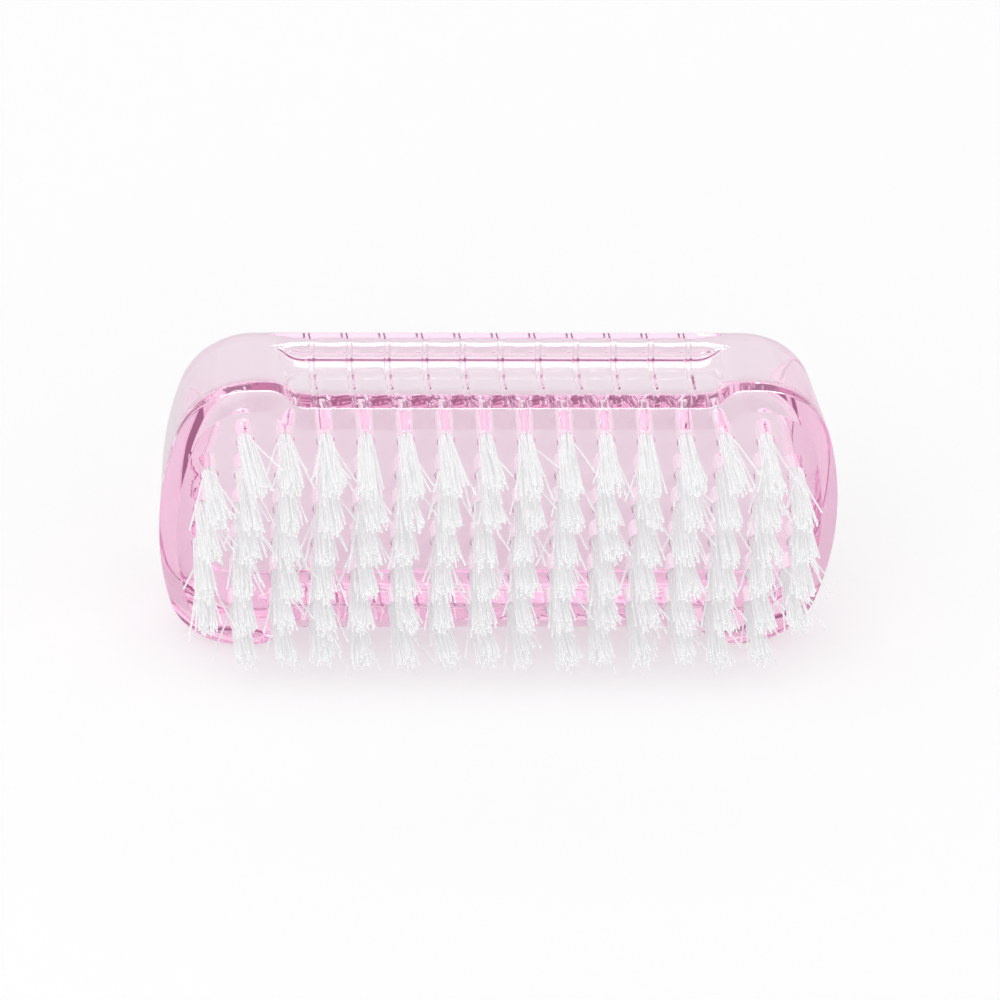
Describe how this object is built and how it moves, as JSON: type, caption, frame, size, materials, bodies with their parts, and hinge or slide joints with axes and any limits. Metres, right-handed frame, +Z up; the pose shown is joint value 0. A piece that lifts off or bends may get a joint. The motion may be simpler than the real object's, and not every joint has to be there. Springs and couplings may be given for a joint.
{
  "type": "nail brush",
  "caption": "Hand nail brush: a clear oblong block, open at the back, with rounded ends and a grooved finger grip along each long side, and tufts of bristle in its front.",
  "frame": {"origin": "middle of the footprint, on the surface that the brush stands on", "axes": "+X along the block, +Y from the bristle tips towards the back face, +Z up across the block's width"},
  "size_m": [0.09, 0.0298, 0.0405],
  "materials": {
    "clear_plastic": "clear moulded plastic with a pink tint, polished",
    "bristle": "white nylon filament, satin",
    "anchor_metal": "flat cut wire, dull"
  },
  "bodies": {
    "root": {"block": "clear_plastic", "tuft_column_01": "bristle", "tuft_column_02": "bristle", "tuft_column_03": "bristle", "tuft_column_04": "bristle", "tuft_column_05": "bristle", "tuft_column_06": "bristle", "tuft_column_07": "bristle", "tuft_column_08": "bristle", "tuft_column_09": "bristle", "tuft_column_10": "bristle", "tuft_column_11": "bristle", "tuft_column_12": "bristle", "tuft_column_13": "bristle", "tuft_column_14": "bristle", "tuft_column_15": "bristle", "tuft_column_16": "bristle", "anchor_column_01": "anchor_metal", "anchor_column_02": "anchor_metal", "anchor_column_03": "anchor_metal", "anchor_column_04": "anchor_metal", "anchor_column_05": "anchor_metal", "anchor_column_06": "anchor_metal", "anchor_column_07": "anchor_metal", "anchor_column_08": "anchor_metal", "anchor_column_09": "anchor_metal", "anchor_column_10": "anchor_metal", "anchor_column_11": "anchor_metal", "anchor_column_12": "anchor_metal", "anchor_column_13": "anchor_metal", "anchor_column_14": "anchor_metal", "anchor_column_15": "anchor_metal", "anchor_column_16": "anchor_metal"}
  },
  "joints": []
}
